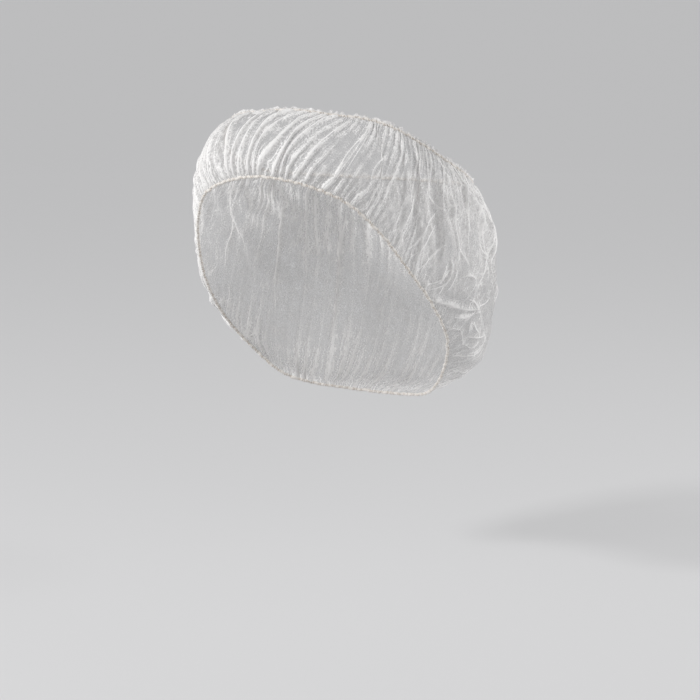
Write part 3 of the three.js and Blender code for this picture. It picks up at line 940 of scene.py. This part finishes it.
def spun(name, colour, in_grain_and_shade, grain):
    """White spun thread or rolled cloth edge, a little darker at random in its grain. On the rolled edge it
    is also darker at the waists between the beads, as painted shade.
    """
    material, add = new_material(name)
    spot = add("ShaderNodeTexCoord").outputs["Object"]
    fuzz = {"Vector": spot, "Scale": 1 / grain, "Detail": 3, "Roughness": 0.7}
    fuzz = add("ShaderNodeTexNoise", fuzz).outputs["Fac"]
    waist_shade = add("ShaderNodeAttribute", attribute_name="waist_shade").outputs["Fac"]
    lighter = add("ShaderNodeMath", {0: fuzz, 1: waist_shade}, operation="SUBTRACT", use_clamp=True).outputs[0]
    tone = add("ShaderNodeMix", {0: lighter, 6: in_grain_and_shade, 7: colour}, data_type="RGBA").outputs[2]
    bump = add("ShaderNodeBump", {"Height": fuzz, "Strength": 0.8, "Distance": 0.3 * MM}).outputs[0]
    thread = {"Base Color": tone, "Normal": bump, "Roughness": 0.75}
    thread |= {"Sheen Weight": 0.3, "Sheen Roughness": 0.4}
    thread = add("ShaderNodeBsdfPrincipled", thread)
    add("ShaderNodeOutputMaterial", {"Surface": thread.outputs[0]})
    return material


rolled_edge = spun("rolled_edge", EDGE_CORD, EDGE_CORD_SHADE, EDGE_CORD_GRAIN)
edge_thread = spun("edge_thread", EDGE_THREAD, EDGE_THREAD_HOLLOW, EDGE_THREAD_GRAIN)
overlock = stitch_tree()
for edge, row, seed in (("brow", 0, 3), ("crown", -1 - len(RUFFLE_ROWS), 5)):
    line = eased_line(cloth[:, row])
    length_round = np.linalg.norm(np.roll(line, -1, 0) - line, axis=1).sum()
    pitch = length_round / (STITCHES_PER_BEAD * round(length_round / STITCH_PITCH / STITCHES_PER_BEAD))
    core = beaded_core(edge + "_edge", line, pitch * STITCHES_PER_BEAD, rng)
    core.data.materials.append(rolled_edge)
    stitches = stitched(edge + "_stitches", line, overlock, edge_thread, pitch, seed)
    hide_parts(edge + "_elastic")
    for piece in (core, stitches):
        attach(piece, "root")

# ---------------------------------------------------------------------------------------------------
# The studio: a pale seamless floor that curves up into a wall all round, soft light from above and
# from the wearer's right, and a weaker light on the other side.
FLOOR_DROP = 0.245  # below the origin, as far as the foot of a display head
FLOOR_RADIUS, SWEEP_RADIUS, WALL_HEIGHT = 2.4, 1.2, 3.0
SWEEP_STEP = 9  # degrees
STAGE_SIDES = 96
STAGE_GREY = (0.25, 0.25, 0.2525, 1)
STAGE_GLOW = 1.6
AIR_LIGHT = 0.05
SOFT_BOXES = (
    dict(name="key", right=-1.1, up=0.9, near=0.6, size=0.24, power=20),
    dict(name="side", right=1.3, up=0.45, near=0.1, size=0.3, power=10),
    dict(name="fill", right=0.5, up=0.8, near=1.3, size=0.8, power=1.5),
)

profile = [(FLOOR_RADIUS, 0.0)]
for bend in range(SWEEP_STEP, 91, SWEEP_STEP):
    out, up = math.sin(math.radians(bend)), 1 - math.cos(math.radians(bend))
    profile.append((FLOOR_RADIUS + SWEEP_RADIUS * out, SWEEP_RADIUS * up))
profile.append((FLOOR_RADIUS + SWEEP_RADIUS, WALL_HEIGHT))
points, faces = [(0, 0, -FLOOR_DROP)], []
for radius, height in profile:
    for side in range(STAGE_SIDES):
        angle = 2 * math.pi * side / STAGE_SIDES
        points.append((radius * math.cos(angle), radius * math.sin(angle), height - FLOOR_DROP))
for side in range(STAGE_SIDES):
    after = (side + 1) % STAGE_SIDES
    faces.append((0, 1 + side, 1 + after))
    for ring in range(len(profile) - 1):
        low, high = 1 + ring * STAGE_SIDES, 1 + (ring + 1) * STAGE_SIDES
        faces.append((low + side, high + side, high + after, low + after))
sweep = bpy.data.meshes.new("studio")
sweep.from_pydata(points, [], faces)
sweep.shade_smooth()
studio_paint, add = new_material("studio_paint")
paint = {"Base Color": STAGE_GREY, "Roughness": 0.9}
paint |= {"Emission Color": STAGE_GREY, "Emission Strength": STAGE_GLOW}
paint = add("ShaderNodeBsdfPrincipled", paint)
add("ShaderNodeOutputMaterial", {"Surface": paint.outputs[0]})
sweep.materials.append(studio_paint)
in_scene("studio", sweep)

studio_air = bpy.data.worlds.new("studio_air")
studio_air.use_nodes = True
background = studio_air.node_tree.nodes["Background"]
background.inputs["Color"].default_value = (1, 1, 1, 1)
background.inputs["Strength"].default_value = AIR_LIGHT
bpy.context.scene.world = studio_air

# Square soft boxes, each at a place given from the viewer's side and aimed at the band.
level = Vector((toward_viewer.x, toward_viewer.y, 0)).normalized()
for box in SOFT_BOXES:
    light = bpy.data.lights.new(box["name"], "AREA")
    light.size = box["size"]
    light.energy = box["power"]
    soft_box = in_scene(box["name"], light)
    soft_box.location = screen_right * box["right"] + Vector((0, 0, box["up"])) + level * box["near"]
    soft_box.rotation_euler = soft_box.location.to_track_quat("Z", "Y").to_euler()
